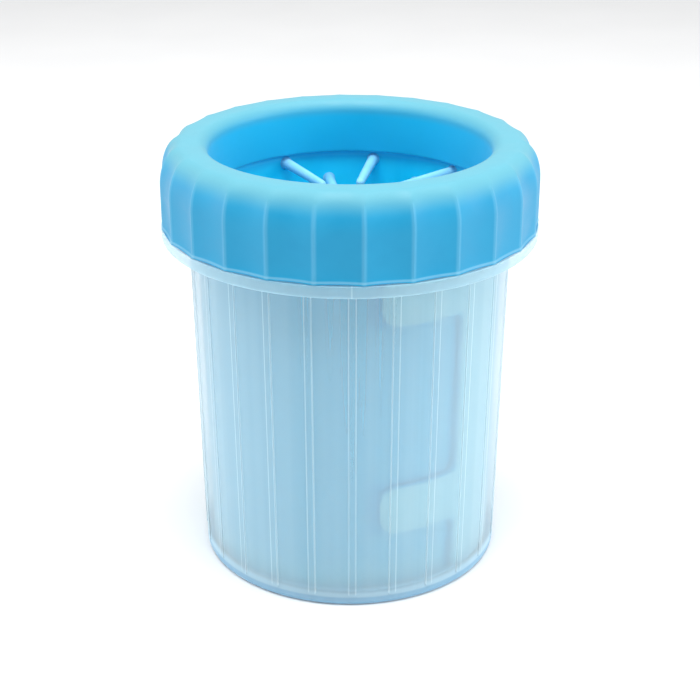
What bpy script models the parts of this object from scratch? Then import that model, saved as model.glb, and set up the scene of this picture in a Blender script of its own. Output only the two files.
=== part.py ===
"""Paw washer cup: a ribbed cup, a fluted soft cap ring and a rolled mat with columns of bristles.

Metres, +Z up. The origin is on the cup's axis, in the plane of its foot ring. Angles round the
axis are counted from the front (-Y) towards +X.
"""

from math import atan2, cos, degrees, floor, pi, radians, sin

import bmesh
import bpy
from mathutils import Vector

OBJECT_NAME = "paw_washer_cup"

# Cup
CUP_TOP_RADIUS = 0.0401  # outside of the wall under the collar, between ribs
CUP_TAPER = 0.0015  # how much narrower the wall is at the foot
BODY_HEIGHT = 0.0860  # foot ring to the underside of the collar
CUP_WALL = 0.0018
FLOOR_THICKNESS = 0.0022
FOOT_RECESS = 0.0008  # how far the floor's underside stands above the foot ring
FOOT_WIDTH = 0.0034  # flat width of the foot ring
FOOT_FILLET = 0.0025
COLLAR_THICKNESS = 0.0032
COLLAR_FILLET = 0.0012
NECK_STEP = 0.0035  # how far the neck stands outside the body's wall
NECK_WALL = 0.0020
NECK_HEIGHT = 0.0158  # collar top to rim
BEAD_RELIEF = 0.0006
BEAD_HEIGHT = 0.0022
BEAD_DROP = 0.0048  # rim down to the top of the bead
RIM_CHAMFER = 0.0004
RIB_COUNT = 24
RIB_WIDTH = 0.0016
RIB_RELIEF = 0.0003
RIB_START = 0.0030  # height at which the ribs begin
RIB_TURN = 0.8  # degrees, the first rib's angle

# Cap ring
CAP_WALL = 0.0025
CAP_CROWN = 0.0047  # silicone above the rim
CAP_LIP_REACH = 0.0058  # outer wall to the top of the lip
CAP_SHOULDER_DROP = 0.0096  # lip top down to where the outer wall begins to round over
SKIRT_WALL = 0.0022
SKIRT_DROP = 0.0140  # lip top down to the skirt's lower edge
MOUTH_ROUND = 0.0029  # radius of the lip's inner edge
SKIRT_COVER = 0.0017  # how far the skirt reaches in past the mat's inner face
FLUTE_COUNT = 26
FLUTE_DEPTH = 0.0007
FLUTE_TURN = 3.9  # degrees, the first ridge's angle

# Brush mat
MAT_THICKNESS = 0.0015
SEAM_ANGLE = 46.3  # degrees, the outer end's edge
MAT_OVERLAP = 18.2  # degrees, how far the inner end passes under the outer end
JOG_START = 350.0  # degrees, where the mat begins to step in under its own outer end
JOG_TURN = 17.5  # degrees that the step in takes
TAB_LENGTH = 0.0226
TAB_HEIGHT = 0.0130
LOWER_TAB_RISE = 0.0154  # mat's lower edge to the lower tab
UPPER_TAB_DROP = 0.0081  # mat's upper edge to the upper tab
TAB_END_RADIUS = 0.0045
TAB_ROOT_RADIUS = 0.0034
MAT_CORNER_RADIUS = 0.0020

# Bristles
COLUMN_COUNT = 19
FIRST_COLUMN_ANGLE = 75.35  # degrees
ROW_PITCH = 0.0110
ROW_MARGIN = 0.0021  # mat's edge to the axis of the nearest bristle
BRISTLE_LENGTH = 0.0210
BRISTLE_ROOT_RADIUS = 0.0013
BRISTLE_TIP_RADIUS = 0.0010
ROOT_ROD_RADIUS = 0.0009
ROOT_ROD_MARGIN = 0.0006  # mat's edge to the end of a root rod

# Clearances
TOUCH_GAP = 0.0003  # between pieces that rest on each other
MAT_CLEARANCE = 0.0004  # mat to the cup's wall
LAYER_GAP = 0.0003  # between the mat's two layers at the overlap

# Facets
CUP_STEPS = 48
STEPS_PER_FLUTE = 3
MAT_STEP_ANGLE = 7.5
ARC_STEPS = 3
BRISTLE_SIDES = 6
ROD_SIDES = 8
MERGE = 0.00001
SCREW_START = 90.0  # degrees, where a turned profile begins, at +X

# Worked out from the sizes above
CUP_BASE_RADIUS = CUP_TOP_RADIUS - CUP_TAPER
INNER_FLOOR = FOOT_RECESS + FLOOR_THICKNESS
COLLAR_TOP = BODY_HEIGHT + COLLAR_THICKNESS
RIM_TOP = COLLAR_TOP + NECK_HEIGHT
NECK_RADIUS = CUP_TOP_RADIUS + NECK_STEP
NECK_BORE = NECK_RADIUS - NECK_WALL
CAP_BORE = NECK_RADIUS + BEAD_RELIEF + TOUCH_GAP
CAP_RADIUS = CAP_BORE + CAP_WALL
CAP_BOTTOM = COLLAR_TOP + TOUCH_GAP
CAP_ROOF = RIM_TOP + TOUCH_GAP
CAP_TOP = CAP_ROOF + CAP_CROWN
SKIRT_BOTTOM = CAP_TOP - SKIRT_DROP
MAT_BOTTOM = INNER_FLOOR + TOUCH_GAP
MAT_TOP = SKIRT_BOTTOM - TOUCH_GAP
WALL_SLOPE = CUP_TAPER / BODY_HEIGHT
MAT_MOUTH = CUP_BASE_RADIUS + WALL_SLOPE * MAT_TOP - CUP_WALL - MAT_CLEARANCE - MAT_THICKNESS
SKIRT_BORE = MAT_MOUTH - SKIRT_COVER
FACET_SAG = CUP_TOP_RADIUS * (1.0 - cos(radians(MAT_STEP_ANGLE / 2)))


def bore_radius(z):
    """Inside radius of the cup's tapered wall at height z."""
    return CUP_BASE_RADIUS + WALL_SLOPE * z - CUP_WALL


def jog_share(angle):
    """0 on the mat's outer layer, 1 on the layer under it, smooth between."""
    share = min(max((angle - JOG_START) / JOG_TURN, 0.0), 1.0)
    return share * share * (3.0 - 2.0 * share)


def mat_outer_radius(angle, z):
    """Radius of the mat's outer face."""
    inset = jog_share(angle) * (MAT_THICKNESS + LAYER_GAP)
    return bore_radius(z) - MAT_CLEARANCE - inset


def around(angle, radius, z=0.0):
    """The point at this angle, radius and height."""
    turn = radians(angle)
    return Vector((radius * sin(turn), -radius * cos(turn), z))


def clear_scene():
    for item in list(bpy.data.objects):
        bpy.data.objects.remove(item, do_unlink=True)


def make_collection(name):
    group = bpy.data.collections.new(name)
    bpy.context.scene.collection.children.link(group)
    return group


def make_material(name, colour, roughness, metallic=0.0):
    material = bpy.data.materials.new(name)
    material.use_nodes = True
    shader = material.node_tree.nodes["Principled BSDF"]
    shader.inputs["Base Color"].default_value = colour
    shader.inputs["Roughness"].default_value = roughness
    shader.inputs["Metallic"].default_value = metallic
    material.diffuse_color = colour
    return material


def add_object(name, mesh, group, material=None):
    item = bpy.data.objects.new(name, mesh)
    group.objects.link(item)
    if material is not None:
        mesh.materials.clear()
        mesh.materials.append(material)
    return item


def make_cutter(item):
    item.hide_render = True
    item.display_type = "WIRE"


def arc(centre, radius, start, end, steps):
    """Points (r, z) of an arc between two angles in degrees, both ends included."""
    points = []
    for step in range(steps + 1):
        turn = radians(start + (end - start) * step / steps)
        points.append((centre[0] + radius * cos(turn), centre[1] + radius * sin(turn)))
    return points


def quarter_ellipse(centre, reach, rise, start, steps):
    """Points of a quarter ellipse from start degrees, running clockwise, both ends included."""
    points = []
    for step in range(steps + 1):
        turn = radians(start - 90.0 * step / steps)
        points.append((centre[0] + reach * cos(turn), centre[1] + rise * sin(turn)))
    return points


def turned_object(name, profile, closed, steps, group, material):
    """Turn a profile of (r, z) points round Z with a Screw modifier."""
    mesh = bpy.data.meshes.new(name)
    count = len(profile)
    edges = [(i, i + 1) for i in range(count - 1)]
    if closed:
        edges.append((count - 1, 0))
    mesh.from_pydata([(r, 0.0, z) for r, z in profile], edges, [])
    item = add_object(name, mesh, group, material)
    screw = item.modifiers.new("turn", "SCREW")
    screw.axis = "Z"
    screw.angle = 2.0 * pi
    screw.steps = steps
    screw.render_steps = steps
    screw.use_merge_vertices = True
    screw.merge_threshold = MERGE
    screw.use_smooth_shade = True
    return item


def evaluated_mesh(item, name):
    """A plain mesh of the object as its modifiers leave it."""
    graph = bpy.context.evaluated_depsgraph_get()
    mesh = bpy.data.meshes.new_from_object(item.evaluated_get(graph))
    mesh.name = name
    return mesh


def cup_profile():
    """From the middle of the inner floor, up the bore, over the rim and down the outside."""
    foot_outer = bore_radius(0.0) + CUP_WALL - FOOT_FILLET
    fillet_top = CUP_BASE_RADIUS + WALL_SLOPE * FOOT_FILLET
    bead_top = RIM_TOP - BEAD_DROP
    bead_bottom = bead_top - BEAD_HEIGHT
    bead_radius = NECK_RADIUS + BEAD_RELIEF
    profile = [
        (0.0, INNER_FLOOR),
        (bore_radius(INNER_FLOOR), INNER_FLOOR),
        (bore_radius(BODY_HEIGHT), BODY_HEIGHT),
        (NECK_BORE, COLLAR_TOP),
        (NECK_BORE, RIM_TOP - RIM_CHAMFER),
        (NECK_BORE + RIM_CHAMFER, RIM_TOP),
        (NECK_RADIUS - RIM_CHAMFER, RIM_TOP),
        (NECK_RADIUS, RIM_TOP - RIM_CHAMFER),
        (NECK_RADIUS, bead_top),
        (bead_radius, bead_top - BEAD_RELIEF),
        (bead_radius, bead_bottom + BEAD_RELIEF),
        (NECK_RADIUS, bead_bottom),
        (NECK_RADIUS, COLLAR_TOP),
        (CAP_RADIUS, COLLAR_TOP),
    ]
    collar_corner = (CAP_RADIUS - COLLAR_FILLET, BODY_HEIGHT + COLLAR_FILLET)
    profile += arc(collar_corner, COLLAR_FILLET, 0.0, -90.0, ARC_STEPS)
    profile.append((CUP_TOP_RADIUS, BODY_HEIGHT))
    foot_corner = (foot_outer, FOOT_FILLET)
    profile.append((fillet_top, FOOT_FILLET))
    profile += arc(foot_corner, FOOT_FILLET, 0.0, -90.0, ARC_STEPS)[1:]
    foot_inner = foot_outer - FOOT_WIDTH
    profile += [(foot_inner, 0.0), (foot_inner - FOOT_RECESS, FOOT_RECESS), (0.0, FOOT_RECESS)]
    return profile


def rib_mesh():
    """All the ribs as separate bars that lie on the wall's slope and run up into the collar."""
    height = BODY_HEIGHT + COLLAR_THICKNESS / 2 - RIB_START
    depth = RIB_RELIEF + CUP_WALL / 2
    shape = bmesh.new()
    for index in range(RIB_COUNT):
        angle = RIB_TURN + 360.0 * index / RIB_COUNT
        bar = bmesh.ops.create_cube(shape, size=1.0)["verts"]
        for vert in bar:
            z = RIB_START + (vert.co.z + 0.5) * height
            face_radius = bore_radius(z) + CUP_WALL + RIB_RELIEF
            radius = face_radius + (vert.co.x - 0.5) * depth
            side = around(angle + 90.0, vert.co.y * RIB_WIDTH)
            vert.co = around(angle, radius, z) + side
    mesh = bpy.data.meshes.new("rib_bars")
    bmesh.ops.recalc_face_normals(shape, faces=shape.faces)
    shape.to_mesh(mesh)
    shape.free()
    return mesh


def make_cup(group, cutters, material):
    cup = turned_object("cup_body", cup_profile(), False, CUP_STEPS, group, material)
    ribs = add_object("rib_bars", rib_mesh(), cutters)
    make_cutter(ribs)
    join = cup.modifiers.new("ribs", "BOOLEAN")
    join.operation = "UNION"
    join.object = ribs
    return cup


def cap_profile():
    """Closed outline: down the outer wall, up the cavity over the neck, and round the skirt."""
    lip_radius = CAP_RADIUS - CAP_LIP_REACH
    shoulder = CAP_TOP - CAP_SHOULDER_DROP
    corner = CAP_WALL / 2
    skirt_outside = SKIRT_BORE + SKIRT_WALL
    profile = quarter_ellipse((lip_radius, shoulder), CAP_LIP_REACH, CAP_SHOULDER_DROP, 90.0, 5)
    profile += [
        (CAP_RADIUS, CAP_BOTTOM),
        (CAP_BORE, CAP_BOTTOM),
        (CAP_BORE, CAP_ROOF - corner),
        (CAP_BORE - corner, CAP_ROOF),
        (skirt_outside + corner, CAP_ROOF),
        (skirt_outside, CAP_ROOF - corner),
        (skirt_outside, SKIRT_BOTTOM),
        (SKIRT_BORE, SKIRT_BOTTOM),
    ]
    mouth_corner = (SKIRT_BORE + MOUTH_ROUND, CAP_TOP - MOUTH_ROUND)
    profile += arc(mouth_corner, MOUTH_ROUND, 180.0, 90.0, ARC_STEPS)
    return profile


def flute_depth(angle, z):
    """Depth of the flutes at an angle and height: nothing on a ridge, fading out at the lip."""
    along = (angle - FLUTE_TURN) / 360.0 * FLUTE_COUNT
    across = abs(sin(pi * along))
    fade = min(max((CAP_TOP - z) / CAP_SHOULDER_DROP, 0.0), 1.0)
    return FLUTE_DEPTH * across * fade * fade


def make_cap(group, cutters, material):
    """Turn the plain ring, then press the flutes into its outer wall."""
    steps = FLUTE_COUNT * STEPS_PER_FLUTE
    blank = turned_object("cap_blank", cap_profile(), True, steps, cutters, None)
    mesh = evaluated_mesh(blank, "cap_ring")
    bpy.data.objects.remove(blank, do_unlink=True)
    lip_radius = CAP_RADIUS - CAP_LIP_REACH
    for vert in mesh.vertices:
        radius = vert.co.xy.length
        angle = degrees(atan2(vert.co.x, -vert.co.y)) - SCREW_START + FLUTE_TURN
        on_wall = radius > CAP_BORE + CAP_WALL / 2
        on_lip = radius > lip_radius and vert.co.z > CAP_ROOF
        if on_wall or on_lip:
            radius -= flute_depth(angle, vert.co.z)
        vert.co = around(angle, radius, vert.co.z)
    add_object("cap_ring", mesh, group, material)


def rounded_outline(corners):
    """Points of a closed outline whose corners (x, z, radius) are rounded, inner ones included."""
    points = []
    count = len(corners)
    for index in range(count):
        here = Vector(corners[index][:2])
        before = (Vector(corners[index - 1][:2]) - here).normalized()
        after = (Vector(corners[(index + 1) % count][:2]) - here).normalized()
        radius = corners[index][2]
        centre = here + (before + after) * radius
        for step in range(ARC_STEPS + 1):
            turn = pi / 2 * step / ARC_STEPS
            points.append(centre - after * radius * cos(turn) - before * radius * sin(turn))
    return points


def mat_outline():
    """The mat laid flat: x along its length from the outer end's edge, z its height in the cup."""
    length = radians(360.0 + MAT_OVERLAP) * flat_radius()
    lower = MAT_BOTTOM + LOWER_TAB_RISE
    upper = MAT_TOP - UPPER_TAB_DROP - TAB_HEIGHT
    corners = [(0.0, MAT_BOTTOM, MAT_CORNER_RADIUS)]
    corners.append((length, MAT_BOTTOM, MAT_CORNER_RADIUS))
    corners.append((length, MAT_TOP, MAT_CORNER_RADIUS))
    corners.append((0.0, MAT_TOP, MAT_CORNER_RADIUS))
    for bottom in (upper, lower):
        corners.append((0.0, bottom + TAB_HEIGHT, TAB_ROOT_RADIUS))
        corners.append((-TAB_LENGTH, bottom + TAB_HEIGHT, TAB_END_RADIUS))
        corners.append((-TAB_LENGTH, bottom, TAB_END_RADIUS))
        corners.append((0.0, bottom, TAB_ROOT_RADIUS))
    return rounded_outline(corners)


def flat_radius():
    """The radius at which the rolled mat has its flat length."""
    return mat_outer_radius(SEAM_ANGLE, (MAT_BOTTOM + MAT_TOP) / 2)


def make_mat(group, material):
    """Draw the mat flat, cut it across at every facet, roll it up and thicken it inwards."""
    shape = bmesh.new()
    corners = [shape.verts.new((point.x, 0.0, point.y)) for point in mat_outline()]
    shape.faces.new(corners)
    step = radians(MAT_STEP_ANGLE) * flat_radius()
    first = -floor(TAB_LENGTH / step) - 1
    last = int(radians(360.0 + MAT_OVERLAP) * flat_radius() / step) + 1
    shift = (-SEAM_ANGLE % MAT_STEP_ANGLE) / MAT_STEP_ANGLE
    for index in range(first, last + 1):
        geometry = shape.verts[:] + shape.edges[:] + shape.faces[:]
        place = Vector(((index + shift) * step, 0.0, 0.0))
        bmesh.ops.bisect_plane(shape, geom=geometry, dist=MERGE, plane_co=place, plane_no=(1.0, 0.0, 0.0))
    bmesh.ops.triangulate(shape, faces=shape.faces)
    for vert in shape.verts:
        angle = SEAM_ANGLE + degrees(vert.co.x / flat_radius())
        vert.co = around(angle, mat_outer_radius(angle, vert.co.z), vert.co.z)
    mesh = bpy.data.meshes.new("brush_mat")
    shape.to_mesh(mesh)
    shape.free()
    mat = add_object("brush_mat", mesh, group, material)
    thicken = mat.modifiers.new("thickness", "SOLIDIFY")
    thicken.thickness = MAT_THICKNESS
    thicken.offset = -1.0
    thicken.use_even_offset = True
    return mat


def add_rod(shape, start, end, start_radius, end_radius, sides):
    """A straight tapered round rod between two points."""
    run = end - start
    placed = run.to_track_quat("Z", "Y").to_matrix().to_4x4()
    placed.translation = (start + end) / 2
    bmesh.ops.create_cone(
        shape,
        cap_ends=True,
        segments=sides,
        radius1=start_radius,
        radius2=end_radius,
        depth=run.length,
        matrix=placed,
    )


def rod_bottom():
    return MAT_BOTTOM + ROOT_ROD_MARGIN


def column_mesh(name, staggered, cutters):
    """One column: a root rod on the hinge axis with a bristle at every row, pointing to -X."""
    top_row = MAT_TOP - ROW_MARGIN - (ROW_PITCH / 2 if staggered else 0.0)
    rows = floor((top_row - MAT_BOTTOM - ROW_MARGIN) / ROW_PITCH + MERGE) + 1
    rod_height = MAT_TOP - ROOT_ROD_MARGIN - rod_bottom()
    rod = bmesh.new()
    rod_end = Vector((WALL_SLOPE * rod_height, 0.0, rod_height))
    add_rod(rod, Vector((0.0, 0.0, 0.0)), rod_end, ROOT_ROD_RADIUS, ROOT_ROD_RADIUS, ROD_SIDES)
    rod_shape = bpy.data.meshes.new(name + "_rod")
    rod.to_mesh(rod_shape)
    rod.free()
    bristles = bmesh.new()
    for row in range(rows):
        height = top_row - row * ROW_PITCH - rod_bottom()
        root = Vector((WALL_SLOPE * height, 0.0, height))
        tip = root - Vector((BRISTLE_LENGTH, 0.0, 0.0))
        add_rod(bristles, root, tip, BRISTLE_ROOT_RADIUS, BRISTLE_TIP_RADIUS, BRISTLE_SIDES)
    bristle_shape = bpy.data.meshes.new(name + "_bristles")
    bristles.to_mesh(bristle_shape)
    bristles.free()
    blank = add_object(name + "_blank", rod_shape, cutters)
    brush = add_object(name + "_bristles", bristle_shape, cutters)
    join = blank.modifiers.new("bristles", "BOOLEAN")
    join.operation = "UNION"
    join.object = brush
    mesh = evaluated_mesh(blank, name)
    bpy.data.objects.remove(blank, do_unlink=True)
    bpy.data.objects.remove(brush, do_unlink=True)
    return mesh


def root_radius(angle, z):
    """Radius of a column's hinge axis: its root rod stands just off the mat's inner face."""
    rod_turn = degrees((ROOT_ROD_RADIUS + TOUCH_GAP) / mat_outer_radius(angle, z))
    face = mat_outer_radius(angle + 2.0 * rod_turn, z) - MAT_THICKNESS
    return face - FACET_SAG - TOUCH_GAP - ROOT_ROD_RADIUS


def make_columns(group, cutters, material):
    """Columns at equal angles. Every second one has its rows half a pitch lower."""
    meshes = [column_mesh("bristles_low", True, cutters), column_mesh("bristles_high", False, cutters)]
    for index in range(COLUMN_COUNT):
        angle = FIRST_COLUMN_ANGLE + 360.0 * index / COLUMN_COUNT
        name = "bristle_column_%02d" % (index + 1)
        column = add_object(name, meshes[index % 2], group, material)
        column.location = around(angle, root_radius(angle, rod_bottom()), rod_bottom())
        column.rotation_euler.z = radians(angle - 90.0)


def main():
    clear_scene()
    parts = make_collection(OBJECT_NAME)
    cutters = make_collection("cutters")
    clear_plastic = make_material("frosted_plastic", (0.62, 0.78, 0.88, 1.0), 0.45)
    cap_silicone = make_material("cap_silicone", (0.03, 0.42, 0.76, 1.0), 0.5)
    mat_silicone = make_material("mat_silicone", (0.01, 0.28, 0.70, 1.0), 0.55)
    bristle_silicone = make_material("bristle_silicone", (0.14, 0.60, 0.92, 1.0), 0.5)
    make_cup(parts, cutters, clear_plastic)
    make_cap(parts, cutters, cap_silicone)
    make_mat(parts, mat_silicone)
    make_columns(parts, cutters, bristle_silicone)


main()
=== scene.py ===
"""Looks of the paw washer cup: frosted ribbed cup, fluted silicone cap, rolled mat and bristles."""

from math import atan2, ceil, cos, degrees, floor, pi, radians, sin

import bmesh
import bpy
from mathutils import Matrix, Vector


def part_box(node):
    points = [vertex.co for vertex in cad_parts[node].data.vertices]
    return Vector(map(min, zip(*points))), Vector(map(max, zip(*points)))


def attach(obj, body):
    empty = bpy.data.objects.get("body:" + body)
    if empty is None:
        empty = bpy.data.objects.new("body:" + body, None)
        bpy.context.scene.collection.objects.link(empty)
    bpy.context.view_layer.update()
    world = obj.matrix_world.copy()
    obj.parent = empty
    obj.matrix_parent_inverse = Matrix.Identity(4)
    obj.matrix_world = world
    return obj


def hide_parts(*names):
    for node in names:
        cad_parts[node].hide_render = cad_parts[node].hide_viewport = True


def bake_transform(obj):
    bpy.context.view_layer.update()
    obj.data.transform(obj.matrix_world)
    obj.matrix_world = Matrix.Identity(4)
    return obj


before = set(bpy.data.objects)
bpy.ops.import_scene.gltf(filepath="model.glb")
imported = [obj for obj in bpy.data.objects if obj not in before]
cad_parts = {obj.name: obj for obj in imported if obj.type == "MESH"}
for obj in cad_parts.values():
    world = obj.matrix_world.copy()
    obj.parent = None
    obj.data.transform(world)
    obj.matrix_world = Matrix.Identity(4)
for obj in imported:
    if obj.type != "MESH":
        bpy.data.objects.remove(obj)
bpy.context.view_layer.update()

CUP_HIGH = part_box("cup_body")[1]
CAP_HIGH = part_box("cap_ring")[1]
MAT_LOW, MAT_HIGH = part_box("brush_mat")

# Cup. Heights and radii in metres, as in the CAD source.
BASE_RADIUS = 0.0386
TOP_RADIUS = 0.0401
BODY_HEIGHT = 0.0860
CUP_WALL = 0.0018
FLOOR_TOP = 0.0030
FOOT_RECESS = 0.0008
COLLAR_TOP = 0.0892
RIM_TOP = CUP_HIGH.z
NECK_RADIUS = 0.0436
NECK_BORE = 0.0416
COLLAR_RADIUS = CUP_HIGH.x
RIB_COUNT = 24
RIB_TURN = 0.8
RIB_RELIEF = 0.00028
RIB_START = 0.0030
RIB_SPLITS = 12
FOOT_INSET = 0.0025
NECK_BEAD = 0.0006
WALL_SLOPE = (TOP_RADIUS - BASE_RADIUS) / BODY_HEIGHT

# Cap
CAP_EDGE = COLLAR_TOP + 0.00004
CAP_TOP = CAP_HIGH.z
CAP_RADIUS = 0.0470
CAP_BORE = 0.0445
CAP_ROOF = 0.1053
LIP_RADIUS = 0.0412
SKIRT_BOTTOM = 0.0960
SKIRT_BORE = 0.03487
SKIRT_WALL = 0.0022
FLUTE_COUNT = 26
FLUTE_TURN = 3.9
FLUTE_DEPTH = 0.0009
FLUTE_SPLITS = 12
FLUTE_FADE = 0.0042
SHOULDER_DROP = 0.0096
SHOULDER_STEPS = 14
EDGE_FLARE = 0.00012
MOUTH_ROUND = 0.0029
MOUTH_STEPS = 10

# Mat
MAT_BOTTOM = MAT_LOW.z
MAT_TOP = MAT_HIGH.z
MAT_THICKNESS = 0.0015
MAT_CLEARANCE = 0.0004
LAYER_GAP = 0.0003
SEAM_ANGLE = 46.3
MAT_OVERLAP = 18.2
JOG_START = 350.0
JOG_TURN = 17.5
TAB_LENGTH = 0.0226
TAB_HEIGHT = 0.0130
LOWER_TAB = MAT_BOTTOM + 0.0154
UPPER_TAB = MAT_TOP - 0.0081 - TAB_HEIGHT
TAB_END_ROUND = 0.0045
TAB_ROOT_ROUND = 0.0034
MAT_CORNER_ROUND = 0.0020
MAT_EDGE_ROUND = 0.00035
MAT_STEP = 0.00165

# Bristles
COLUMN_COUNT = 19
FIRST_COLUMN_ANGLE = 75.35
ROW_PITCH = 0.0110
ROW_MARGIN = 0.0021
BRISTLE_LENGTH = 0.0223
BRISTLE_ROOT = 0.0014
BRISTLE_TIP = 0.0011
BRISTLE_SIDES = 12


def wall_radius(z):
    """Outside radius of the cup's tapered wall."""
    return BASE_RADIUS + WALL_SLOPE * z


def bore_radius(z):
    """Inside radius of the same wall."""
    return wall_radius(z) - CUP_WALL


def jog_share(angle):
    """0 on the mat's outer layer and 1 on the layer under it."""
    share = min(max((angle - JOG_START) / JOG_TURN, 0.0), 1.0)
    return share * share * (3.0 - 2.0 * share)


def mat_outer_radius(angle, z):
    inset = jog_share(angle) * (MAT_THICKNESS + LAYER_GAP)
    return bore_radius(z) - MAT_CLEARANCE - inset


def around(angle, radius, z=0.0):
    """The point at an angle in degrees, counted from the front towards +X."""
    turn = radians(angle)
    return Vector((radius * sin(turn), -radius * cos(turn), z))


def angle_of(point):
    return degrees(atan2(point.x, -point.y))


# Modelling helpers


def deselect_all():
    if bpy.context.object and bpy.context.object.mode != "OBJECT":
        bpy.ops.object.mode_set(mode="OBJECT")
    bpy.ops.object.select_all(action="DESELECT")


def make_active(piece):
    deselect_all()
    piece.select_set(True)
    bpy.context.view_layer.objects.active = piece


def new_piece(name):
    """Names the primitive that was just added."""
    piece = bpy.context.object
    piece.name = name
    piece.data.name = name
    return piece


def select_in_edit(piece, kind, wanted):
    """Selects the piece's verts, edges or faces that wanted() accepts, and leaves edit mode on."""
    make_active(piece)
    bpy.ops.object.mode_set(mode="EDIT")
    bpy.ops.mesh.select_mode(type=kind)
    shape = bmesh.from_edit_mesh(piece.data)
    for group in (shape.verts, shape.edges, shape.faces):
        for item in group:
            item.select = False
    chosen = {"VERT": shape.verts, "EDGE": shape.edges, "FACE": shape.faces}[kind]
    for item in chosen:
        if wanted(item):
            item.select = True
    shape.select_flush_mode()
    bmesh.update_edit_mesh(piece.data)


def leave_edit():
    bpy.ops.object.mode_set(mode="OBJECT")


def apply_modifier(piece, kind, **settings):
    modifier = piece.modifiers.new(kind.lower(), kind)
    for key, value in settings.items():
        setattr(modifier, key, value)
    make_active(piece)
    bpy.ops.object.modifier_apply(modifier=modifier.name)


def settle(piece):
    """Leaves the object at the origin, unturned, with its place in its mesh."""
    make_active(piece)
    bpy.ops.object.transform_apply(location=True, rotation=True, scale=True)


def smooth(piece, angle=35.0):
    make_active(piece)
    bpy.ops.object.shade_smooth_by_angle(angle=radians(angle))


def turned_piece(name, stations, splits, turn=0.0):
    """A ring extruded and resized from station to station. Each station is (radius, height)."""
    deselect_all()
    radius, height = stations[0]
    turned = (0, 0, radians(turn))
    bpy.ops.mesh.primitive_circle_add(
        vertices=splits, radius=radius, fill_type="NOTHING", location=(0, 0, height), rotation=turned
    )
    piece = new_piece(name)
    settle(piece)
    bpy.ops.object.mode_set(mode="EDIT")
    bpy.ops.mesh.select_mode(type="VERT")
    bpy.ops.mesh.select_all(action="SELECT")
    for next_radius, next_height in stations[1:]:
        rise = next_height - height
        bpy.ops.mesh.extrude_region_move(TRANSFORM_OT_translate={"value": (0, 0, rise)})
        scale = next_radius / radius
        bpy.ops.transform.resize(value=(scale, scale, 1.0), center_override=(0, 0, next_height))
        radius, height = next_radius, next_height
    leave_edit()
    return piece


def face_out(piece):
    make_active(piece)
    bpy.ops.object.mode_set(mode="EDIT")
    bpy.ops.mesh.select_all(action="SELECT")
    bpy.ops.mesh.remove_doubles(threshold=0.000002)
    bpy.ops.mesh.normals_make_consistent(inside=False)
    leave_edit()


def close_ends(piece):
    """Fills the first and last rings of a turned piece."""
    make_active(piece)
    bpy.ops.object.mode_set(mode="EDIT")
    bpy.ops.mesh.select_all(action="DESELECT")
    bpy.ops.mesh.select_mode(type="EDGE")
    bpy.ops.mesh.select_non_manifold()
    bpy.ops.mesh.edge_face_add()
    leave_edit()


def rounded(points, corners, steps=5):
    """The outline with the points numbered in corners swapped for arcs of those radii."""
    made = []
    for index, point in enumerate(points):
        if index not in corners:
            made.append(point)
            continue
        here = Vector(point)
        before = (Vector(points[index - 1]) - here).normalized()
        after = (Vector(points[(index + 1) % len(points)]) - here).normalized()
        reach = corners[index]
        start, end = here + before * reach, here + after * reach
        for step in range(steps + 1):
            share = step / steps
            bend = start.lerp(here, share).lerp(here.lerp(end, share), share)
            made.append((bend.x, bend.y))
    return made


# Cup


def cup_stations():
    """From the middle of the underside, out over the foot, up the wall, over the rim and down inside."""
    foot_outer = BASE_RADIUS - FOOT_INSET
    bead_radius = NECK_RADIUS + NECK_BEAD
    outline = [
        (0.0009, FOOT_RECESS + 0.00045),
        (0.0020, FOOT_RECESS + 0.0004),
        (0.0026, FOOT_RECESS),
        (0.0120, FOOT_RECESS),
        (foot_outer - 0.0042, FOOT_RECESS),
        (foot_outer - 0.0034, 0.0),
        (foot_outer + 0.0012, 0.0),
        (wall_radius(0.0), 0.0004),
        (wall_radius(RIB_START), RIB_START),
        (wall_radius(0.020), 0.020),
        (wall_radius(0.045), 0.045),
        (wall_radius(0.070), 0.070),
        (wall_radius(BODY_HEIGHT - 0.0004), BODY_HEIGHT - 0.0004),
        (TOP_RADIUS + 0.0006, BODY_HEIGHT),
        (COLLAR_RADIUS, BODY_HEIGHT),
        (COLLAR_RADIUS, COLLAR_TOP),
        (NECK_RADIUS, COLLAR_TOP),
        (NECK_RADIUS, RIM_TOP - 0.0070),
        (bead_radius, RIM_TOP - 0.0064),
        (bead_radius, RIM_TOP - 0.0054),
        (NECK_RADIUS, RIM_TOP - 0.0048),
        (NECK_RADIUS, RIM_TOP),
        (NECK_BORE, RIM_TOP),
        (NECK_BORE, COLLAR_TOP),
        (bore_radius(BODY_HEIGHT), BODY_HEIGHT),
        (bore_radius(0.045), 0.045),
        (bore_radius(FLOOR_TOP), FLOOR_TOP),
        (0.0120, FLOOR_TOP),
        (0.0009, FLOOR_TOP),
    ]
    foot_corners = {4: 0.0004, 5: 0.0004, 6: 0.0006, 7: 0.0009}
    collar_corners = {13: 0.0005, 14: 0.0013, 15: 0.0003, 16: 0.0003}
    neck_corners = {18: 0.0004, 19: 0.0004, 21: 0.0006, 22: 0.0006}
    inner_corners = {23: 0.0008, 24: 0.0006, 26: 0.0003}
    return rounded(outline, {**foot_corners, **collar_corners, **neck_corners, **inner_corners})


def make_cup():
    splits = RIB_COUNT * RIB_SPLITS
    piece = turned_piece("cup", cup_stations(), splits, RIB_TURN)
    close_ends(piece)
    face_out(piece)
    raise_ribs(piece)
    smooth(piece, 40.0)
    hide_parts("cup_body")
    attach(piece, "cup")
    return piece


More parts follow.
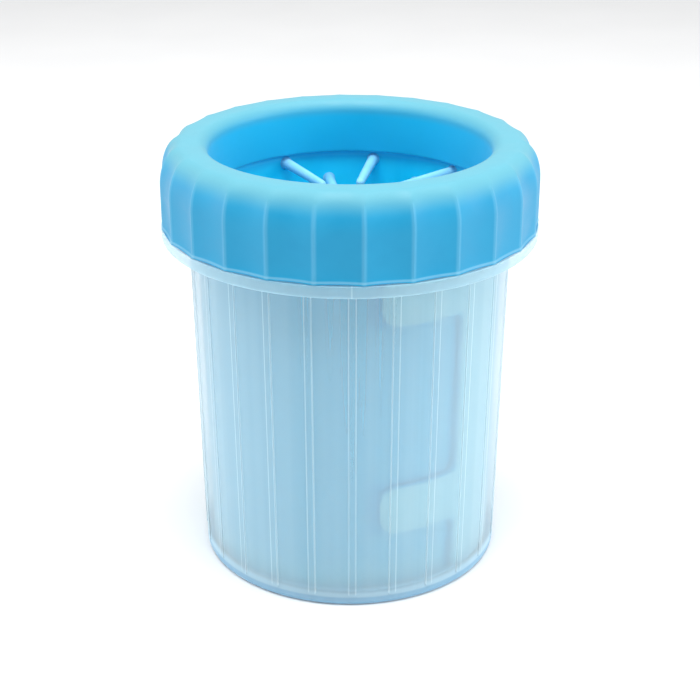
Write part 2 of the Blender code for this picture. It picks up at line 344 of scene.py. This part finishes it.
def on_rib(face):
    middle = face.calc_center_median()
    outside = middle.xy.length > bore_radius(middle.z) + CUP_WALL / 2
    in_height = RIB_START + 0.0005 < middle.z < BODY_HEIGHT - 0.0004
    below_collar = middle.xy.length < TOP_RADIUS + 0.0003
    phase = ((angle_of(middle) - RIB_TURN) * RIB_COUNT / 360.0 + 0.5) % 1.0 - 0.5
    return outside and in_height and below_collar and abs(phase) < 1.0 / RIB_SPLITS


def raise_ribs(piece):
    select_in_edit(piece, "FACE", on_rib)
    bpy.ops.mesh.extrude_region_shrink_fatten(TRANSFORM_OT_shrink_fatten={"value": RIB_RELIEF})
    leave_edit()


# Cap


def cap_stations():
    """Down the outer wall from the lip, up the cavity over the neck, down and round the skirt."""
    stations = []
    shoulder = CAP_TOP - SHOULDER_DROP
    wall = CAP_RADIUS - EDGE_FLARE
    for step in range(SHOULDER_STEPS + 1):
        turn = pi / 2 * step / SHOULDER_STEPS
        radius = LIP_RADIUS + (wall - LIP_RADIUS) * sin(turn)
        stations.append((radius, shoulder + SHOULDER_DROP * cos(turn)))
    for share in (0.3, 0.6, 0.85):
        stations.append((wall, shoulder + (CAP_EDGE - shoulder) * share))
    outline = [
        (wall, CAP_EDGE + 0.0010),
        (CAP_RADIUS, CAP_EDGE + 0.0005),
        (CAP_RADIUS, CAP_EDGE),
        (CAP_BORE, CAP_EDGE),
        (CAP_BORE, CAP_ROOF),
        (SKIRT_BORE + SKIRT_WALL, CAP_ROOF),
        (SKIRT_BORE + SKIRT_WALL, SKIRT_BOTTOM),
        (SKIRT_BORE, SKIRT_BOTTOM),
        (SKIRT_BORE, CAP_TOP - 0.0070),
    ]
    stations += rounded(outline, {2: 0.00025, 3: 0.0005, 4: 0.0012, 5: 0.0012, 6: 0.0007, 7: 0.0007}, 4)
    for step in range(MOUTH_STEPS + 1):
        turn = pi / 2 * step / MOUTH_STEPS
        inset = MOUTH_ROUND * (1.0 - cos(turn))
        stations.append((SKIRT_BORE + inset, CAP_TOP - MOUTH_ROUND * (1.0 - sin(turn))))
    return stations


def flute_share(vert):
    """0 on a ridge, 1 in the middle of a flute, fading out over the lip and easing at the edge."""
    radius = vert.co.xy.length
    inside = radius < (CAP_BORE + CAP_RADIUS) / 2 and vert.co.z < CAP_ROOF + 0.001
    if inside or radius < LIP_RADIUS:
        return 0.0
    phase = (angle_of(vert.co) - FLUTE_TURN) * FLUTE_COUNT / 360.0 % 1.0
    across = 1.0 - (2.0 * phase - 1.0) ** 2
    fade = min((radius - LIP_RADIUS) / FLUTE_FADE, 1.0)
    edge = min(0.45 + (vert.co.z - CAP_EDGE) / 0.0030, 1.0)
    return across * fade * edge


def make_cap():
    splits = FLUTE_COUNT * FLUTE_SPLITS
    piece = turned_piece("cap", cap_stations(), splits, FLUTE_TURN)
    make_active(piece)
    bpy.ops.object.mode_set(mode="EDIT")
    bpy.ops.mesh.select_all(action="DESELECT")
    bpy.ops.mesh.select_mode(type="EDGE")
    bpy.ops.mesh.select_non_manifold()
    bpy.ops.mesh.bridge_edge_loops()
    leave_edit()
    face_out(piece)
    flutes = piece.vertex_groups.new(name="flutes")
    for vert in piece.data.vertices:
        flutes.add([vert.index], flute_share(vert), "REPLACE")
    settings = {"vertex_group": "flutes", "strength": -FLUTE_DEPTH, "mid_level": 0.0, "direction": "NORMAL"}
    apply_modifier(piece, "DISPLACE", **settings)
    smooth(piece, 28.0)
    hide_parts("cap_ring")
    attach(piece, "cap")
    return piece


# Mat


def flat_radius():
    return mat_outer_radius(SEAM_ANGLE, (MAT_BOTTOM + MAT_TOP) / 2)


def bisect_all(piece, point, normal):
    make_active(piece)
    bpy.ops.object.mode_set(mode="EDIT")
    bpy.ops.mesh.select_all(action="SELECT")
    bpy.ops.mesh.bisect(plane_co=point, plane_no=normal)
    leave_edit()


def round_corners(piece, wanted, radius):
    select_in_edit(piece, "VERT", wanted)
    bpy.ops.mesh.bevel(offset=radius, segments=6, affect="VERTICES", offset_type="OFFSET")
    leave_edit()


def is_at(vert, x, z):
    return abs(vert.co.x - x) < 0.00002 and abs(vert.co.z - z) < 0.00002


def flat_mat():
    """The mat laid flat in the XZ plane: x along its length from the outer end's edge."""
    length = radians(360.0 + MAT_OVERLAP) * flat_radius()
    height = MAT_TOP - MAT_BOTTOM
    deselect_all()
    centre = ((length - TAB_LENGTH) / 2, 0.0, MAT_BOTTOM + height / 2)
    bpy.ops.mesh.primitive_plane_add(size=1.0, location=centre, rotation=(pi / 2, 0, 0))
    piece = new_piece("mat")
    piece.scale = (length + TAB_LENGTH, height, 1.0)
    settle(piece)
    tab_edges = [LOWER_TAB, LOWER_TAB + TAB_HEIGHT, UPPER_TAB, UPPER_TAB + TAB_HEIGHT]
    for z in tab_edges:
        bisect_all(piece, (0, 0, z), (0, 0, 1))
    bisect_all(piece, (0, 0, 0), (1, 0, 0))

    def beside_tabs(face):
        middle = face.calc_center_median()
        in_tab = any(z < middle.z < z + TAB_HEIGHT for z in (LOWER_TAB, UPPER_TAB))
        return middle.x < 0 and not in_tab

    select_in_edit(piece, "FACE", beside_tabs)
    bpy.ops.mesh.delete(type="FACE")
    bpy.ops.mesh.select_all(action="SELECT")
    bpy.ops.mesh.dissolve_limited(angle_limit=radians(1))
    leave_edit()
    round_corners(piece, lambda v: any(is_at(v, -TAB_LENGTH, z) for z in tab_edges), TAB_END_ROUND)
    round_corners(piece, lambda v: any(is_at(v, 0.0, z) for z in tab_edges), TAB_ROOT_ROUND)
    ends = [(x, z) for x in (0.0, length) for z in (MAT_BOTTOM, MAT_TOP)]
    round_corners(piece, lambda v: any(is_at(v, x, z) for x, z in ends), MAT_CORNER_ROUND)
    for step in range(floor(-TAB_LENGTH / MAT_STEP) + 1, ceil(length / MAT_STEP)):
        bisect_all(piece, (step * MAT_STEP + 0.0001, 0, 0), (1, 0, 0))
    return piece


def make_mat():
    """Thickens the flat mat, rounds its edges and rolls it up against the cup's wall."""
    piece = flat_mat()
    apply_modifier(piece, "SOLIDIFY", thickness=MAT_THICKNESS, offset=0.0)
    low = min(v.co.y for v in piece.data.vertices)
    sharp = radians(60)
    apply_modifier(piece, "BEVEL", width=MAT_EDGE_ROUND, segments=2, limit_method="ANGLE", angle_limit=sharp)
    outer_face = piece.data.attributes.new("outer_face", "FLOAT", "POINT")
    outer_end = piece.data.attributes.new("outer_end", "FLOAT", "POINT")
    halfway = pi * flat_radius()
    for vert in piece.data.vertices:
        depth = vert.co.y - low
        outer_face.data[vert.index].value = 1.0 if depth < MAT_THICKNESS / 2 else 0.0
        outer_end.data[vert.index].value = 1.0 if vert.co.x < halfway else 0.0
        angle = SEAM_ANGLE + degrees(vert.co.x / flat_radius())
        vert.co = around(angle, mat_outer_radius(angle, vert.co.z) - depth, vert.co.z)
    face_out(piece)
    smooth(piece, 35.0)
    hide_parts("brush_mat")
    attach(piece, "brush")
    return piece


# Bristles


def bristle_stations():
    """Radius and distance from the mat's face, from the flared root to the rounded tip."""
    stations = [(BRISTLE_ROOT + 0.0005, -0.0002), (BRISTLE_ROOT + 0.0003, 0.0001)]
    stations += [(BRISTLE_ROOT + 0.0001, 0.0004), (BRISTLE_ROOT, 0.0011)]
    for share in (0.15, 0.3, 0.45, 0.6, 0.75, 0.9):
        radius = BRISTLE_ROOT + (BRISTLE_TIP - BRISTLE_ROOT) * share
        stations.append((radius, 0.0011 + (BRISTLE_LENGTH - 0.0020) * share))
    for turn in (0, 35, 65):
        radius = BRISTLE_TIP * cos(radians(turn))
        stations.append((radius, BRISTLE_LENGTH - BRISTLE_TIP * (1 - sin(radians(turn)))))
    stations.append((0.00012, BRISTLE_LENGTH))
    return stations


def make_bristle():
    """One bristle, standing on the origin and pointing up."""
    piece = turned_piece("bristle", bristle_stations(), BRISTLE_SIDES)
    close_ends(piece)
    face_out(piece)
    return piece


def make_column(index, bristle):
    """Copies of the bristle down one column, each pointing at the axis, joined into one piece."""
    angle = FIRST_COLUMN_ANGLE + 360.0 * index / COLUMN_COUNT
    staggered = index % 2 == 0
    top_row = MAT_TOP - ROW_MARGIN - (ROW_PITCH / 2 if staggered else 0.0)
    rows = floor((top_row - MAT_BOTTOM - ROW_MARGIN) / ROW_PITCH + 0.001) + 1
    copies = []
    for row in range(rows):
        z = top_row - row * ROW_PITCH
        face = mat_outer_radius(angle, z) - MAT_THICKNESS
        inward = -around(angle, 1.0)
        copy = bristle.copy()
        copy.data = bristle.data.copy()
        bpy.context.scene.collection.objects.link(copy)
        aim = inward.to_track_quat("Z", "Y").to_matrix().to_4x4()
        copy.matrix_world = Matrix.Translation(around(angle, face, z)) @ aim
        copies.append(copy)
    deselect_all()
    for copy in copies:
        copy.select_set(True)
    bpy.context.view_layer.objects.active = copies[0]
    bpy.ops.object.join()
    piece = new_piece("bristles_%02d" % (index + 1))
    settle(piece)
    smooth(piece, 50.0)
    node = "bristle_column_%02d" % (index + 1)
    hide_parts(node)
    return piece, angle


def make_bristles():
    bristle = make_bristle()
    made = []
    for index in range(COLUMN_COUNT):
        piece, angle = make_column(index, bristle)
        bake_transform(piece)
        made.append(piece)
    bpy.data.objects.remove(bristle, do_unlink=True)
    return made


# Material helpers


def feed(tree, socket, value):
    """Links an output into a socket, or sets the socket to a plain value."""
    if isinstance(value, bpy.types.NodeSocket):
        tree.links.new(value, socket)
    else:
        socket.default_value = value


def add_node(tree, kind, inputs=None, **settings):
    node = tree.nodes.new("ShaderNode" + kind)
    for key, value in settings.items():
        setattr(node, key, value)
    for name, value in (inputs or {}).items():
        feed(tree, node.inputs[name], value)
    return node


def sum_up(tree, operation, *values, clamp=False):
    node = add_node(tree, "Math", operation=operation, use_clamp=clamp)
    for socket, value in zip(node.inputs, values):
        feed(tree, socket, value)
    return node.outputs[0]


def times(tree, first, second):
    return sum_up(tree, "MULTIPLY", first, second)


def ramp(tree, value, low, high, start=0.0, end=1.0):
    """A value eased from start, where the input is low, to end, where it is high."""
    node = add_node(tree, "MapRange", {"Value": value}, interpolation_type="SMOOTHSTEP")
    for name, number in (("From Min", low), ("From Max", high), ("To Min", start), ("To Max", end)):
        feed(tree, node.inputs[name], number)
    return node.outputs["Result"]


def blend_colour(tree, share, first, second):
    node = add_node(tree, "Mix", data_type="RGBA", blend_type="MIX")
    feed(tree, node.inputs["Factor"], share)
    for socket, colour in ((node.inputs[6], first), (node.inputs[7], second)):
        feed(tree, socket, colour if isinstance(colour, bpy.types.NodeSocket) else (*colour, 1.0))
    return node.outputs[2]


def object_place(tree):
    return add_node(tree, "TexCoord").outputs["Object"]


def distance_from_axis(tree, axes):
    squares = [sum_up(tree, "POWER", axes[name], 2.0) for name in ("X", "Y")]
    return sum_up(tree, "SQRT", sum_up(tree, "ADD", *squares))


def angle_from_front(tree, axes, turn):
    """The angle round the cup's axis, in radians, less turn."""
    back = times(tree, axes["Y"], -1.0)
    return sum_up(tree, "SUBTRACT", sum_up(tree, "ARCTAN2", axes["X"], back), turn)


def new_group(name, inputs, outputs):
    """A shader node group with its named inputs, each with a starting value, and its outputs."""
    group = bpy.data.node_groups.new(name, "ShaderNodeTree")
    for label, value in inputs.items():
        socket = group.interface.new_socket(name=label, in_out="INPUT", socket_type="NodeSocketFloat")
        socket.default_value = value
    for label in outputs:
        group.interface.new_socket(name=label, in_out="OUTPUT", socket_type="NodeSocketFloat")
    entry = group.nodes.new("NodeGroupInput")
    result = group.nodes.new("NodeGroupOutput")
    return group, entry.outputs, result.inputs


def use_group(tree, group, **inputs):
    node = tree.nodes.new("ShaderNodeGroup")
    node.node_tree = group
    for name, value in inputs.items():
        feed(tree, node.inputs[name.replace("_", " ")], value)
    return node.outputs


def new_material(name, **sockets):
    """A material with plain numbers on its shader's sockets."""
    material = bpy.data.materials.new(name)
    material.use_nodes = True
    tree = material.node_tree
    shader = tree.nodes["Principled BSDF"]
    for key, value in sockets.items():
        shader.inputs[key.replace("_", " ")].default_value = value
    return material, tree, shader.inputs


def add_bump(tree, surface, height, distance, strength=1.0):
    bump = add_node(tree, "Bump", {"Height": height, "Distance": distance, "Strength": strength})
    feed(tree, surface["Normal"], bump.outputs["Normal"])


def give(piece, material):
    piece.data.materials.clear()
    piece.data.materials.append(material)


# Effects that several materials share


def make_grain():
    """Fine matt grain of a moulded surface: a height for bumps and a slow cloud for the colour."""
    group, given, made = new_group("moulded_grain", {"Size": 0.0003}, ["Height", "Cloud"])
    place = object_place(group)
    scale = sum_up(group, "DIVIDE", 1.0, given["Size"])
    fine = add_node(group, "TexNoise", {"Vector": place, "Scale": scale, "Detail": 3.0, "Roughness": 0.6})
    slow_scale = times(group, scale, 0.03)
    slow = add_node(group, "TexNoise", {"Vector": place, "Scale": slow_scale, "Detail": 2.0})
    feed(group, made["Height"], fine.outputs["Fac"])
    feed(group, made["Cloud"], ramp(group, slow.outputs["Fac"], 0.3, 0.7))
    return group


def make_streaks():
    """Upright flow lines in a moulded wall, as long as the wall and as wide as Size."""
    group, given, made = new_group("flow_streaks", {"Size": 0.001}, ["Streak"])
    axes = add_node(group, "SeparateXYZ", {"Vector": object_place(group)}).outputs
    radius = sum_up(group, "MAXIMUM", distance_from_axis(group, axes), 0.0001)
    level = sum_up(group, "DIVIDE", BASE_RADIUS, radius)
    squeeze = add_node(group, "CombineXYZ")
    feed(group, squeeze.inputs["X"], times(group, axes["X"], level))
    feed(group, squeeze.inputs["Y"], times(group, axes["Y"], level))
    feed(group, squeeze.inputs["Z"], times(group, axes["Z"], 0.005))
    scale = sum_up(group, "DIVIDE", 1.0, given["Size"])
    wave = add_node(group, "TexNoise", {"Vector": squeeze.outputs["Vector"], "Scale": scale, "Detail": 3.0})
    feed(group, made["Streak"], ramp(group, wave.outputs["Fac"], 0.32, 0.68))
    return group


def make_spokes():
    """Upright lines at equal angles: pairs Offset to each side of every spoke, Width wide."""
    inputs = {"Count": 24.0, "Turn": 0.0, "Offset": 0.0008, "Width": 0.0003}
    group, given, made = new_group("upright_lines", inputs, ["Line"])
    axes = add_node(group, "SeparateXYZ", {"Vector": object_place(group)}).outputs
    angle = angle_from_front(group, axes, given["Turn"])
    phase = times(group, angle, sum_up(group, "DIVIDE", given["Count"], 2.0 * pi))
    share = sum_up(group, "PINGPONG", phase, 0.5)
    girth = times(group, distance_from_axis(group, axes), 2.0 * pi)
    pitch = sum_up(group, "DIVIDE", girth, given["Count"])
    across = times(group, share, pitch)
    off_line = sum_up(group, "ABSOLUTE", sum_up(group, "SUBTRACT", across, given["Offset"]))
    core = times(group, given["Width"], 0.2)
    feed(group, made["Line"], ramp(group, off_line, core, given["Width"], 1.0, 0.0))
    return group


def make_band():
    """1 between two heights, easing to 0 over Soft at each edge."""
    group, given, made = new_group("height_band", {"Low": 0.0, "High": 0.01, "Soft": 0.001}, ["Band"])
    z = add_node(group, "SeparateXYZ", {"Vector": object_place(group)}).outputs["Z"]
    above = ramp(group, z, sum_up(group, "SUBTRACT", given["Low"], given["Soft"]), given["Low"])
    below = ramp(group, z, given["High"], sum_up(group, "ADD", given["High"], given["Soft"]), 1.0, 0.0)
    feed(group, made["Band"], times(group, above, below))
    return group


def make_reach():
    """How far out from the cup's axis a point is, with the wall's taper taken off, and its angle."""
    group, given, made = new_group("reach_and_angle", {"Turn": 0.0}, ["Reach", "Angle"])
    axes = add_node(group, "SeparateXYZ", {"Vector": object_place(group)}).outputs
    taper = times(group, axes["Z"], WALL_SLOPE)
    feed(group, made["Reach"], sum_up(group, "SUBTRACT", distance_from_axis(group, axes), taper))
    feed(group, made["Angle"], angle_from_front(group, axes, given["Turn"]))
    return group


def make_specks():
    """Sparse round specks and dust: about one cell in sixteen holds one."""
    group, given, made = new_group("specks", {"Spacing": 0.004, "Size": 0.0003}, ["Speck"])
    scale = sum_up(group, "DIVIDE", 1.0, given["Spacing"])
    cells = add_node(group, "TexVoronoi", {"Vector": object_place(group), "Scale": scale, "Randomness": 1.0})
    chance = add_node(group, "SeparateColor", {"Color": cells.outputs["Color"]}).outputs["Red"]
    chosen = sum_up(group, "GREATER_THAN", chance, 0.94)
    reach = sum_up(group, "DIVIDE", given["Size"], given["Spacing"])
    spot = ramp(group, cells.outputs["Distance"], times(group, reach, 0.4), reach, 1.0, 0.0)
    feed(group, made["Speck"], times(group, spot, chosen))
    return group


# Materials


def frosted_cup_material(grain, streaks, spokes, band, specks, reach):
    """Milky see-through plastic, with flow streaks, painted highlights along the rib edges and the inside
    floor line, a pale mould mark and a bluer foot.
    """
    material, tree, surface = new_material("frosted_cup", Specular_IOR_Level=0.5, Sheen_Weight=0.25)
    streak = use_group(tree, streaks, Size=0.0026)["Streak"]
    broad = use_group(tree, streaks, Size=0.0065)["Streak"]
    wall_band = use_group(tree, band, Low=RIB_START + 0.0006, High=BODY_HEIGHT - 0.0006, Soft=0.0008)["Band"]
    # Painted highlights: pale lines along both edges of each rib, standing in for light caught by the rib
    # edges.
    rib_edges = {"Count": float(RIB_COUNT), "Turn": radians(RIB_TURN), "Offset": 0.00088, "Width": 0.00030}
    edges = use_group(tree, spokes, **rib_edges)["Line"]
    from_axis = use_group(tree, reach)["Reach"]
    outer_wall = ramp(tree, from_axis, BASE_RADIUS - 0.7 * CUP_WALL, BASE_RADIUS - 0.3 * CUP_WALL)
    rib_edge_highlights = times(tree, times(tree, edges, wall_band), outer_wall)
    mark = use_group(tree, spokes, Count=1.0, Turn=radians(0.5), Offset=0.0, Width=0.0003)["Line"]
    collar_band = use_group(tree, band, Low=BODY_HEIGHT, High=COLLAR_TOP, Soft=0.0001)["Band"]
    mould_mark = times(tree, times(tree, mark, collar_band), 0.6)
    foot = use_group(tree, band, Low=-0.001, High=0.0021, Soft=0.0007)["Band"]
    # Painted highlight: a pale line where the inside floor meets the wall.
    floor_line_highlight = use_group(tree, band, Low=0.0030, High=0.0035, Soft=0.0010)["Band"]
    low_wall = use_group(tree, band, Low=0.0, High=0.0032, Soft=0.0026)["Band"]
    speck = use_group(tree, specks, Spacing=0.0045, Size=0.00032)["Speck"]
    skin = use_group(tree, grain, Size=0.00025)
    # pale holds the painted rib-edge and floor-line highlights together with the real mould mark on the
    # collar.
    pale = sum_up(tree, "MAXIMUM", sum_up(tree, "MAXIMUM", rib_edge_highlights, mould_mark), times(tree, floor_line_highlight, 0.12))
    colour = blend_colour(tree, broad, (0.458, 0.650, 0.745), (0.508, 0.684, 0.770))
    colour = blend_colour(tree, times(tree, streak, 0.05), colour, (0.60, 0.76, 0.82))
    colour = blend_colour(tree, times(tree, low_wall, 0.8), colour, (0.42, 0.71, 0.89))
    colour = blend_colour(tree, collar_band, colour, (0.49, 0.78, 0.92))
    colour = blend_colour(tree, foot, colour, (0.27, 0.54, 0.76))
    colour = blend_colour(tree, times(tree, pale, 0.8), colour, (0.70, 0.85, 0.91))
    colour = blend_colour(tree, times(tree, speck, 0.35), colour, (0.18, 0.36, 0.47))
    feed(tree, surface["Base Color"], colour)
    facing = add_node(tree, "LayerWeight", {"Blend": 0.35}).outputs["Facing"]
    alpha = sum_up(tree, "ADD", ramp(tree, streak, 0.0, 1.0, 0.300, 0.312), times(tree, facing, 0.40))
    alpha = sum_up(tree, "ADD", alpha, times(tree, pale, 0.14))
    alpha = sum_up(tree, "ADD", alpha, times(tree, low_wall, 0.26), clamp=True)
    feed(tree, surface["Alpha"], alpha)
    feed(tree, surface["Roughness"], ramp(tree, skin["Cloud"], 0.0, 1.0, 0.40, 0.52))
    add_bump(tree, surface, skin["Height"], 0.00003, 0.4)
    return material


def cap_silicone_material(grain, spokes, band, specks, reach):
    """Soft matt silicone, with painted light that makes the top of the rolled lip paler and painted bounce
    light that makes the mouth a deeper, brighter blue.
    """
    material, tree, surface = new_material("cap_silicone", Specular_IOR_Level=0.35, Sheen_Weight=0.12)
    skin = use_group(tree, grain, Size=0.00022)
    # Painted light: the top of the lip is painted paler, as if lit from above with a white sheen.
    lip = use_group(tree, band, Low=CAP_TOP - 0.0006, High=CAP_TOP + 0.01, Soft=0.0050)["Band"]
    # Painted highlight: a paler line along the rounded lower edge of the cap, on the outside only.
    edge = use_group(tree, band, Low=CAP_EDGE + 0.0006, High=CAP_EDGE + 0.0008, Soft=0.0003)["Band"]
    from_axis = use_group(tree, reach)["Reach"]
    # Painted bounce light: the wall down inside the mouth is painted a brighter, more saturated blue,
    # starting just under the lip.
    below_lip = use_group(tree, band, Low=0.0, High=CAP_TOP - 0.0046, Soft=0.0044)["Band"]
    inside = ramp(tree, from_axis, SKIRT_BORE, SKIRT_BORE + 0.0016, 1.0, 0.0)
    mouth = times(tree, below_lip, inside)
    # The inner rounded edge of the lip gets the same painted light, so it does not shade darker as it turns
    # down.
    lip = sum_up(tree, "MAXIMUM", lip, ramp(tree, from_axis, LIP_RADIUS - 0.0015, LIP_RADIUS, 1.0, 0.0))
    outside = ramp(tree, from_axis, CAP_BORE - 0.0020, CAP_BORE, 0.0, 1.0)
    # Painted highlight: a paler line along each flute crest on the outside.
    crests = {"Count": float(FLUTE_COUNT), "Turn": radians(FLUTE_TURN), "Offset": 0.0, "Width": 0.0009}
    ridge = use_group(tree, spokes, **crests)["Line"]
    ridge = times(tree, times(tree, ridge, outside), 0.16)
    speck = use_group(tree, specks, Spacing=0.005, Size=0.00025)["Speck"]
    colour = blend_colour(tree, skin["Cloud"], (0.001, 0.270, 0.498), (0.006, 0.286, 0.516))
    colour = blend_colour(tree, lip, colour, (0.100, 0.362, 0.455))
    colour = blend_colour(tree, mouth, colour, (0.0, 0.475, 0.775))
    colour = blend_colour(tree, ridge, colour, (0.30, 0.62, 0.78))
    colour = blend_colour(tree, times(tree, times(tree, edge, outside), 0.25), colour, (0.40, 0.66, 0.76))
    colour = blend_colour(tree, times(tree, speck, 0.3), colour, (0.50, 0.70, 0.78))
    feed(tree, surface["Base Color"], colour)
    feed(tree, surface["Roughness"], ramp(tree, skin["Cloud"], 0.0, 1.0, 0.48, 0.60))
    add_bump(tree, surface, skin["Height"], 0.00004, 0.5)
    return material


def tab_patches(tree, band, angle, grow):
    """The mat's outer end and its two tabs, grown by this many metres with soft edges."""
    turn = grow / flat_radius()
    end = radians(SEAM_ANGLE)
    tip = end - TAB_LENGTH / flat_radius()
    soft = max(grow, 0.0004)
    soft_turn = soft / flat_radius()
    shape = ramp(tree, angle, end - turn - soft_turn, end - turn)
    for low in (LOWER_TAB, UPPER_TAB):
        high = low + TAB_HEIGHT
        tall = use_group(tree, band, Low=low - grow + soft, High=high + grow - soft, Soft=soft)["Band"]
        long = ramp(tree, angle, tip - 2.0 * turn - soft_turn, tip - turn)
        shape = sum_up(tree, "MAXIMUM", shape, times(tree, tall, long))
    past = radians(SEAM_ANGLE + MAT_OVERLAP)
    return times(tree, shape, ramp(tree, angle, past, past + 0.3, 1.0, 0.0))


def mat_silicone_material(grain, streaks, band, specks, reach):
    """Blue sheet silicone, with painted light where its end and tabs lie against the cup and painted shade
    in the gaps around them.
    """
    material, tree, surface = new_material("mat_silicone", Specular_IOR_Level=0.3)
    skin = use_group(tree, grain, Size=0.0003)
    streak = use_group(tree, streaks, Size=0.004)["Streak"]
    rim = use_group(tree, band, Low=MAT_TOP - 0.0009, High=MAT_TOP + 0.001, Soft=0.0006)["Band"]
    speck = use_group(tree, specks, Spacing=0.006, Size=0.0003)["Speck"]
    where = use_group(tree, reach)
    # Painted light and shade: the outer end and tabs are painted paler where they lie against the frosted
    # wall, and a painted shadow rings them on the layer beneath.
    contact_light_patch = tab_patches(tree, band, where["Angle"], 0.0)
    gap_shade_patch = tab_patches(tree, band, where["Angle"], 0.0014)
    outer_face = add_node(tree, "Attribute", attribute_name="outer_face").outputs["Fac"]
    outer_end = add_node(tree, "Attribute", attribute_name="outer_end").outputs["Fac"]
    painted_contact_light = times(tree, times(tree, contact_light_patch, outer_end), outer_face)
    painted_gap_shade = times(tree, gap_shade_patch, sum_up(tree, "SUBTRACT", 1.0, outer_end))
    painted_gap_shade = times(tree, painted_gap_shade, outer_face)
    colour = blend_colour(tree, skin["Cloud"], (0.0, 0.600, 0.930), (0.0, 0.640, 0.960))
    # Painted light: the outer face is painted paler than the face turned in to the bristles.
    colour = blend_colour(tree, outer_face, colour, (0.08, 0.66, 0.95))
    colour = blend_colour(tree, times(tree, streak, 0.2), colour, (0.02, 0.68, 0.97))
    colour = blend_colour(tree, times(tree, rim, 0.35), colour, (0.08, 0.70, 0.97))
    # Painted light: the mat is painted paler towards its lower edge, where it sits in shade at the bottom of
    # the cup.
    painted_low_light = use_group(tree, band, Low=0.0, High=MAT_BOTTOM + 0.0015, Soft=0.0090)["Band"]
    colour = blend_colour(tree, times(tree, painted_low_light, 0.5), colour, (0.26, 0.86, 1.0))
    # Painted shade around the tabs, then painted light on the outer end and tabs.
    colour = blend_colour(tree, painted_gap_shade, colour, (0.0, 0.53, 0.88))
    colour = blend_colour(tree, painted_contact_light, colour, (0.40, 0.88, 1.0))
    colour = blend_colour(tree, times(tree, speck, 0.3), colour, (0.5, 0.8, 0.92))
    feed(tree, surface["Base Color"], colour)
    feed(tree, surface["Roughness"], ramp(tree, skin["Cloud"], 0.0, 1.0, 0.42, 0.56))
    add_bump(tree, surface, skin["Height"], 0.00004, 0.5)
    return material


def bristle_silicone_material(grain, band):
    """Paler, thinner silicone, with painted shade making it a deeper, more saturated blue down inside the
    cup.
    """
    material, tree, surface = new_material("bristle_silicone", Specular_IOR_Level=0.35)
    skin = use_group(tree, grain, Size=0.0002)
    # Painted shade: the bristles turn a deeper, more saturated blue towards the bottom of the cup.
    painted_deep_shade = use_group(tree, band, Low=-0.01, High=0.045, Soft=0.045)["Band"]
    colour = blend_colour(tree, skin["Cloud"], (0.200, 0.540, 0.780), (0.235, 0.575, 0.800))
    colour = blend_colour(tree, times(tree, painted_deep_shade, 0.5), colour, (0.13, 0.56, 0.83))
    feed(tree, surface["Base Color"], colour)
    feed(tree, surface["Roughness"], ramp(tree, skin["Cloud"], 0.0, 1.0, 0.42, 0.54))
    add_bump(tree, surface, skin["Height"], 0.00003, 0.5)
    return material


def floor_material(grain):
    """Plain pale paper."""
    material, tree, surface = new_material("studio_paper", Specular_IOR_Level=0.1)
    skin = use_group(tree, grain, Size=0.002)
    colour = blend_colour(tree, skin["Cloud"], (0.800, 0.805, 0.810), (0.810, 0.815, 0.820))
    feed(tree, surface["Base Color"], colour)
    feed(tree, surface["Roughness"], ramp(tree, skin["Cloud"], 0.0, 1.0, 0.60, 0.66))
    return material


def finish_pieces(cup, cap, mat, bristles, floor_piece):
    grain, streaks, spokes = make_grain(), make_streaks(), make_spokes()
    band, specks, reach = make_band(), make_specks(), make_reach()
    give(cup, frosted_cup_material(grain, streaks, spokes, band, specks, reach))
    give(cap, cap_silicone_material(grain, spokes, band, specks, reach))
    give(mat, mat_silicone_material(grain, streaks, band, specks, reach))
    bristle_material = bristle_silicone_material(grain, band)
    for piece in bristles:
        give(piece, bristle_material)
    give(floor_piece, floor_material(grain))


# Stage


def make_stage():
    deselect_all()
    bpy.ops.mesh.primitive_plane_add(size=8.0, location=(0, 0, 0))
    floor_piece = new_piece("floor")
    return floor_piece


def area_light(name, power, size, place, target):
    data = bpy.data.lights.new(name, "AREA")
    data.shape = "RECTANGLE"
    data.energy = power
    data.size, data.size_y = size
    lamp = bpy.data.objects.new(name, data)
    bpy.context.scene.collection.objects.link(lamp)
    lamp.location = place
    lamp.rotation_euler = (Vector(target) - Vector(place)).to_track_quat("-Z", "Y").to_euler()


def make_light():
    world = bpy.data.worlds.new("studio")
    bpy.context.scene.world = world
    world.use_nodes = True
    world.node_tree.nodes["Background"].inputs["Color"].default_value = (1, 1, 1, 1)
    world.node_tree.nodes["Background"].inputs["Strength"].default_value = 0.54
    area_light("overhead", 11.5, (0.8, 0.8), (0, -0.14, 0.94), (0, 0, 0.05))
    area_light("right", 3.3, (0.25, 0.7), (0.78, -0.12, 0.35), (0, 0, 0.06))
    area_light("left", 2.4, (0.25, 0.7), (-0.78, 0.05, 0.35), (0, 0, 0.06))


def make_camera():
    data = bpy.data.cameras.new("camera")
    data.sensor_width = 36.0
    data.lens = 79.2
    data.clip_start = 0.01
    camera = bpy.data.objects.new("camera", data)
    bpy.context.scene.collection.objects.link(camera)
    camera.location = (0.0, -0.3656, 0.2154)
    aim = Vector((0.0, 0.0, 0.0531)) - camera.location
    camera.rotation_euler = aim.to_track_quat("-Z", "Y").to_euler()
    bpy.context.scene.camera = camera


def main():
    make_camera()
    cup = make_cup()
    cap = make_cap()
    mat = make_mat()
    bristles = make_bristles()
    finish_pieces(cup, cap, mat, bristles, make_stage())
    make_light()
    bpy.context.scene.view_settings.view_transform = "Standard"


main()
